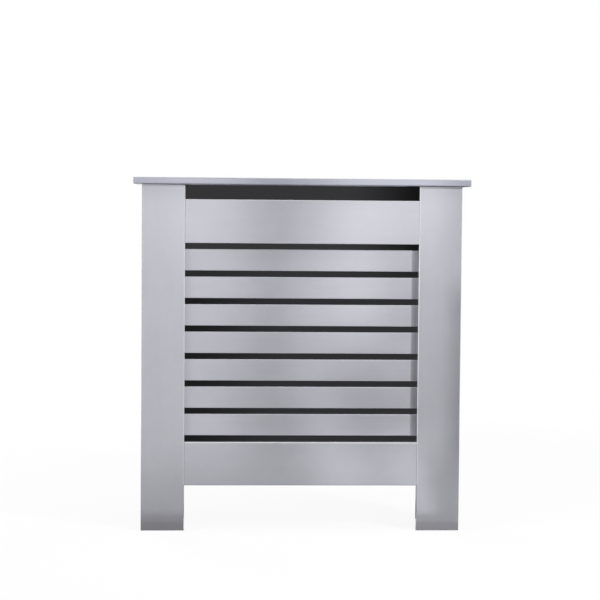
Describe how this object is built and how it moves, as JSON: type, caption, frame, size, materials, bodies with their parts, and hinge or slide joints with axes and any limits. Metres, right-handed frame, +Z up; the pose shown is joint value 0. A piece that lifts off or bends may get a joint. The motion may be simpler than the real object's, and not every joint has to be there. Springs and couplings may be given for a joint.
{
  "type": "radiator cover cabinet",
  "caption": "Free-standing radiator cover: overhanging shelf, slatted front frame on legs, notched side panels and an open back, joined with cams and dowels.",
  "frame": {"origin": "on the floor, under the middle of the shelf, which is the middle of the base of the whole object's box", "axes": "+X to the right along the wall as seen from the front, +Y from the slatted front to the wall, +Z up"},
  "size_m": [0.78, 0.19, 0.82],
  "materials": {
    "silver_coating": "glossy silver-grey coating on fibreboard",
    "steel": "bright zinc-plated steel",
    "zinc": "dull die-cast zinc",
    "beech": "raw beech"
  },
  "bodies": {
    "root": {"top_shelf": "silver_coating", "left_side_panel": "silver_coating", "right_side_panel": "silver_coating", "rear_batten": "silver_coating", "left_stile": "silver_coating", "right_stile": "silver_coating", "top_rail": "silver_coating", "bottom_rail": "silver_coating", "slat_1": "silver_coating", "slat_2": "silver_coating", "slat_3": "silver_coating", "slat_4": "silver_coating", "slat_5": "silver_coating", "slat_6": "silver_coating", "slat_7": "silver_coating", "slat_1_left_screw": "steel", "slat_1_right_screw": "steel", "slat_2_left_screw": "steel", "slat_2_right_screw": "steel", "slat_3_left_screw": "steel", "slat_3_right_screw": "steel", "slat_4_left_screw": "steel", "slat_4_right_screw": "steel", "slat_5_left_screw": "steel", "slat_5_right_screw": "steel", "slat_6_left_screw": "steel", "slat_6_right_screw": "steel", "slat_7_left_screw": "steel", "slat_7_right_screw": "steel", "shelf_left_front_cam_bolt": "steel", "shelf_left_front_cam": "zinc", "shelf_left_rear_cam_bolt": "steel", "shelf_left_rear_cam": "zinc", "shelf_right_front_cam_bolt": "steel", "shelf_right_front_cam": "zinc", "shelf_right_rear_cam_bolt": "steel", "shelf_right_rear_cam": "zinc", "stile_left_upper_cam_bolt": "steel", "stile_left_upper_cam": "zinc", "stile_left_lower_cam_bolt": "steel", "stile_left_lower_cam": "zinc", "stile_right_upper_cam_bolt": "steel", "stile_right_upper_cam": "zinc", "stile_right_lower_cam_bolt": "steel", "stile_right_lower_cam": "zinc", "batten_left_cam_bolt": "steel", "batten_left_cam": "zinc", "batten_right_cam_bolt": "steel", "batten_right_cam": "zinc", "top_rail_left_upper_dowel": "beech", "top_rail_left_lower_dowel": "beech", "top_rail_right_upper_dowel": "beech", "top_rail_right_lower_dowel": "beech", "bottom_rail_left_upper_dowel": "beech", "bottom_rail_left_lower_dowel": "beech", "bottom_rail_right_upper_dowel": "beech", "bottom_rail_right_lower_dowel": "beech", "batten_left_dowel": "beech", "batten_right_dowel": "beech"}
  },
  "joints": []
}
